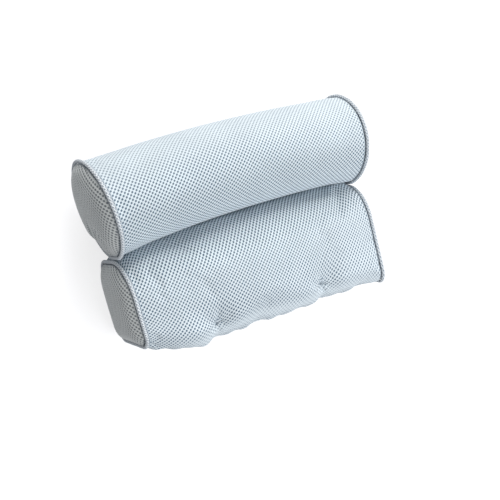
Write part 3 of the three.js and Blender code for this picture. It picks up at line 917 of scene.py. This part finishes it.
def makeTie(side, name):
    steps, sides = tie["steps"], tie["sides"]
    loop, length = tieLoop(tuftBottom(side) + tie["ride"])
    forward = unit(np.roll(loop, -1, 0) - np.roll(loop, 1, 0))
    angle = 2 * np.pi * turnShares(sides)
    twist = 2 * np.pi * turnShares(steps) * round(length / tie["plyLength"])
    plies = np.abs(np.cos(angle[None] + twist[:, None]))
    radius = tie["radius"] * (1 - tie["plyDepth"] + tie["plyDepth"] * plies)
    outward = np.stack([forward[:, 1], -forward[:, 0]], -1)
    step = radius * np.cos(angle)[None]
    grid = np.stack([
        side * tuft["x"] + loop[:, :1] + outward[:, :1] * step,
        tuft["y"] + radius * np.sin(angle)[None],
        loop[:, 1:] + outward[:, 1:] * step,
    ], -1)
    uv = gridUv(turnShares(sides, True) * tie["around"], turnShares(steps, True) * length)
    return gridObject(name, grid, uv[..., ::-1], threadYarn, roundRows=True)


for side, sideName in sideNames.items():
    thread = makeTie(side, "tuftThread" + sideName)
    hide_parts(f"tuft_thread_{sideName.lower()}")
    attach(thread, "pad")


# Suction cups: a thin bell turned from its profile, and an eye for the tie on its neck

cup = {
    "radius": 20, "lip": 2.8, "lipThick": 1, "hollow": 4.5, "bell": 9.5, "flare": 1.35, "neck": 5.5,
    "lipEdge": 0.3, "lipShoulder": 0.2, "eyeZ": 12.65, "lug": 4.5, "lugThick": 6, "eye": 1.3,
    "neckLine": ((3.4, 9.9), (3.0, 10.65), (0.01, 11.05)),  # radius and height, up into the eye
    "boxy": 0.6, "steps": 96, "eyeSteps": 48, "eyeSides": 24,
}


def cupProfile():
    radius, lipThick = cup["radius"], cup["lipThick"]
    share = np.linspace(0, 1, 16)
    hollow = np.stack([(radius - cup["lip"]) * share, cup["hollow"] * (1 - share ** 2)], -1)
    edge, rise = cup["lipEdge"], cup["bell"] - lipThick
    lip = np.array([[radius - edge, 0], [radius, edge], [radius, lipThick - cup["lipShoulder"]]])
    heights = lipThick + rise * share ** cup["flare"]
    outside = np.stack([radius + (cup["neck"] - radius) * share, heights], -1)
    return np.concatenate([hollow, lip, outside, cup["neckLine"]])


def boxy(wave):
    return np.sign(wave) * np.abs(wave) ** cup["boxy"]


def makeCup(side, name):
    profile = cupProfile()
    angle = 2 * np.pi * turnShares(cup["steps"])
    body = np.stack([
        side * tuft["x"] + profile[:, :1] * np.cos(angle),
        tuft["y"] + profile[:, :1] * np.sin(angle),
        profile[:, 1:] + 0 * angle,
    ], -1)
    # The eye is a ring with a rounded oblong section, its axis along X
    around = 2 * np.pi * turnShares(cup["eyeSteps"])[:, None]
    section = 2 * np.pi * turnShares(cup["eyeSides"])[None]
    middle, reach = (cup["lug"] + cup["eye"]) / 2, (cup["lug"] - cup["eye"]) / 2
    out = middle + reach * boxy(np.cos(section))
    eye = np.stack([
        side * tuft["x"] + cup["lugThick"] / 2 * boxy(np.sin(section)) + 0 * around,
        tuft["y"] + out * np.cos(around),
        cup["eyeZ"] + out * np.sin(around),
    ], -1)
    bodyFaces, bodyCorners = gridFaces(*body.shape[:2])
    eyeFaces, eyeCorners = gridFaces(*eye.shape[:2], True)
    bodyUv = gridUv(turnShares(cup["steps"], True), np.linspace(0, 1, len(profile))).reshape(-1, 2)
    eyeUv = gridUv(turnShares(cup["eyeSides"], True), turnShares(cup["eyeSteps"], True)).reshape(-1, 2)
    points = np.concatenate([body.reshape(-1, 3), eye.reshape(-1, 3)])
    faces = np.concatenate([bodyFaces, eyeFaces + body.shape[0] * body.shape[1]])
    corners = np.concatenate([bodyCorners, eyeCorners + len(bodyUv)])
    return addObject(name, points, faces, corners, np.concatenate([bodyUv, eyeUv]), clearVinyl)


for side, sideName in sideNames.items():
    piece = makeCup(side, "suctionCup" + sideName)
    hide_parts(f"suction_cup_{sideName.lower()}")
    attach(piece, "cup_" + sideName.lower())


# Hinge tape: one woven strip from the pad's back, across the fold, to the underside of the roll

tape = {
    "half": 120, "thick": 1.0, "near": 78, "level": 8.55, "fold": 120, "sewn": 11, "space": 0.3,
    "columns": 97, "rows": 64, "straight": 60, "searched": 500, "blend": 0.012,
}


# Lines across the tape in y and z: level up to the roll, then along its underside
def tapeLines():
    x = np.linspace(-tape["half"], tape["half"], tape["columns"])
    turn = np.linspace(0.5, 0.75, tape["searched"])
    turns, places = np.meshgrid(turn, x)
    slack = startSlack(roll, places)
    surface = rollPoint(turns, places, cloth["sink"] + slack - tape["space"])
    meets = np.argmax(surface[..., 2] < tape["level"], axis=1)
    sewn = round(tape["sewn"] / roll["round"] * 4 * len(turn))
    rows = []
    for row, start in zip(surface, meets):
        straight = np.linspace(tape["near"], row[start, 1], tape["straight"], endpoint=False)
        level = np.stack([straight, 0 * straight + tape["level"]], -1)
        path = np.concatenate([level, row[start:start + sewn, 1:]])
        rows.append(evenLine(path, tape["rows"], True))
    return x, np.array(rows)


def makeTape(name, x, lines):
    slope = unit(np.gradient(lines, axis=1))
    normal = np.stack([-slope[..., 1], slope[..., 0]], -1)
    upper = lines + normal * tape["thick"] / 2
    lower = lines - normal * tape["thick"] / 2
    loop = np.concatenate([upper, lower[:, ::-1]], 1)
    grid = np.concatenate([np.broadcast_to(x[:, None, None], (*loop.shape[:2], 1)), loop], -1)
    length = lengthAlong(loop[0])
    uv = gridUv(np.append(length, length[-1] + tape["thick"]), x)
    faces, corners = gridFaces(*grid.shape[:2])
    # Both short ends are closed by faces from the upper to the lower line
    count, lastRow = loop.shape[1], len(x) - 1
    cap = discFaces(count)
    faces = np.concatenate([faces, cap, cap[:, ::-1] + lastRow * count])
    corners = np.concatenate([corners, cap, cap[:, ::-1] + lastRow * (count + 1)])
    return addObject(name, grid, faces, corners, uv, tapeWeave)


tapeX, tapeRows = tapeLines()
hingeTape = makeTape("hingeTape", tapeX, tapeRows)
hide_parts("hinge_tape_pad", "hinge_tape_roll")
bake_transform(hingeTape)

stitch = {
    "count": 60, "margin": 3, "radius": 0.6, "half": 1.35, "steps": 9, "sides": 8, "proud": 0.1,
    "around": 4,
}
# Each row's place among the points across the tape, and the body that it rides on
stitchRows = {
    "tapeStitchesPadEdge": (2, "pad"), "tapeStitchesPad": (8, "pad"),
    "tapeStitchesRoll": (56, "roll"), "tapeStitchesRollEdge": (61, "roll"),
}


# Rows of stitches that hold the tape, as short rounded bars of thread
def makeStitches(name, row):
    count, steps, sides = (stitch[key] for key in ("count", "steps", "sides"))
    reach = tape["half"] - stitch["margin"]
    places = np.linspace(-reach, reach, count)
    along = np.linspace(-1, 1, steps)
    angle = 2 * np.pi * turnShares(sides)
    radius = stitch["radius"] * np.sqrt(np.maximum(0.02, 1 - along ** 4))
    y = np.interp(places, tapeX, tapeRows[:, row, 0])
    z = np.interp(places, tapeX, tapeRows[:, row, 1] - tape["thick"] / 2 - stitch["proud"])
    bars = np.stack(np.broadcast_arrays(
        places[:, None, None] + stitch["half"] * along[None, :, None],
        y[:, None, None] + radius[None, :, None] * np.cos(angle),
        z[:, None, None] + radius[None, :, None] * np.sin(angle),
    ), -1)
    faces, corners = gridFaces(steps, sides)
    starts = steps * sides * np.arange(count)[:, None, None]
    allFaces = (faces[None] + starts).reshape(-1, 4)
    allCorners = np.broadcast_to(corners, (count, *corners.shape)).reshape(-1, 4)
    uv = gridUv(turnShares(sides, True) * stitch["around"], along * stitch["half"])
    return addObject(name, bars, allFaces, allCorners, uv, threadYarn)


for name, (row, body) in stitchRows.items():
    stitches = makeStitches(name, row)
    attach(stitches, body)
print("ties, cups and tape made")


# Camera, as fitted to the photograph: it stands to the left, a little towards the roll, and leans

view = {
    "turn": 27.4, "rise": 8.9, "lean": 14.8, "distance": 908.9, "target": (10.3, -42.0, 47.8),
    "camera": {"lens": 53.29, "sensor_width": 36},
}
turnAngle, riseAngle, leanAngle = (math.radians(view[key]) for key in ("turn", "rise", "lean"))
away = np.array([
    -math.sin(turnAngle) * math.cos(riseAngle), math.sin(riseAngle),
    math.cos(turnAngle) * math.cos(riseAngle),
])
level = np.array([math.cos(turnAngle), 0, math.sin(turnAngle)])
upright = np.cross(away, level)
right = level * math.cos(leanAngle) - upright * math.sin(leanAngle)
above = level * math.sin(leanAngle) + upright * math.cos(leanAngle)
cameraData = bpy.data.cameras.new("camera")
setAll(cameraData, view["camera"])
camera = addThing("camera", cameraData)
stand = (np.array(view["target"]) + view["distance"] * away) * mm
camera.matrix_world = Matrix([
    [right[k], above[k], away[k], stand[k]] for k in range(3)
] + [[0, 0, 0, 1]])
scene.camera = camera


# Floor, light and background

studio = {
    "floorHalf": 4, "floor": (0.42, 0.42, 0.44, 1), "floorRough": 0.9,
    "floorGlow": (0.75, 0.75, 0.75, 1), "foldLimit": math.radians(100), "foldDrop": 0.113,
    "sky": 0.34, "seenSky": 0.66, "lampTarget": (0, 0, 0.05),
}
lamps = {
    "keyLamp": ((0.42, 1.5, 0.8), {"size": 0.9, "energy": 22.3, "color": (1.0, 0.99, 0.97)}),
    "fillLamp": ((0.42, -0.82, 1.25), {"size": 1.2, "energy": 14.9, "color": (0.97, 0.98, 1.0)}),
}


# 1 for rays that show the background: those of the camera, mirrored ones and those through the cups
def seenRays(tree):
    path = addNode(tree, "LightPath", {}).outputs
    seen = mathNode(tree, "MAXIMUM", path["Is Camera Ray"], path["Is Glossy Ray"])
    return mathNode(tree, "MAXIMUM", seen, path["Is Transmission Ray"])


def makeFloor():
    material, tree, shader = newMaterial("paleFloor")
    feed(tree, shader, {"Base Color": studio["floor"], "Roughness": studio["floorRough"]})
    glow = addNode(tree, "Emission", {"Color": studio["floorGlow"], "Strength": seenRays(tree)})
    both = addNode(tree, "AddShader", {0: shader.outputs[0], 1: glow.outputs[0]})
    feed(tree, tree.nodes["Material Output"], {"Surface": both.outputs[0]})
    mesh = bpy.data.meshes.new("floor")
    half = studio["floorHalf"]
    corners = [(-half, -half, 0), (half, -half, 0), (half, half, 0), (-half, half, 0)]
    mesh.from_pydata(corners, [], [(0, 1, 2, 3)])
    mesh.materials.append(material)
    floor = addThing("floor", mesh)
    # The folded roll hangs lower than the pad, so the floor goes down as far as the roll turns
    lower = floor.constraints.new("TRANSFORM")
    setAll(lower, {
        "target": bpy.data.objects["rollSleeve"].parent, "map_from": "ROTATION", "map_to": "LOCATION",
        "from_min_x_rot": -studio["foldLimit"], "map_to_z_from": "X", "to_min_z": -studio["foldDrop"],
    })


def addLamp(name, place, settings):
    data = bpy.data.lights.new(name, "AREA")
    setAll(data, settings)
    lamp = addThing(name, data)
    lamp.location = place
    direction = Vector(studio["lampTarget"]) - Vector(place)
    lamp.rotation_euler = direction.to_track_quat("-Z", "Y").to_euler()


def makeSky():
    world = bpy.data.worlds.new("studio")
    world.use_nodes = True
    tree = world.node_tree
    shown = mathNode(tree, "MULTIPLY", seenRays(tree), studio["seenSky"])
    strength = mathNode(tree, "ADD", shown, studio["sky"])
    feed(tree, tree.nodes["Background"], {"Strength": strength, "Color": (1.0, 1.0, 1.0, 1)})
    scene.world = world


makeFloor()
for name, (place, settings) in lamps.items():
    addLamp(name, place, settings)
makeSky()
scene.view_settings.view_transform = "Standard"
print("camera, floor and light ready")
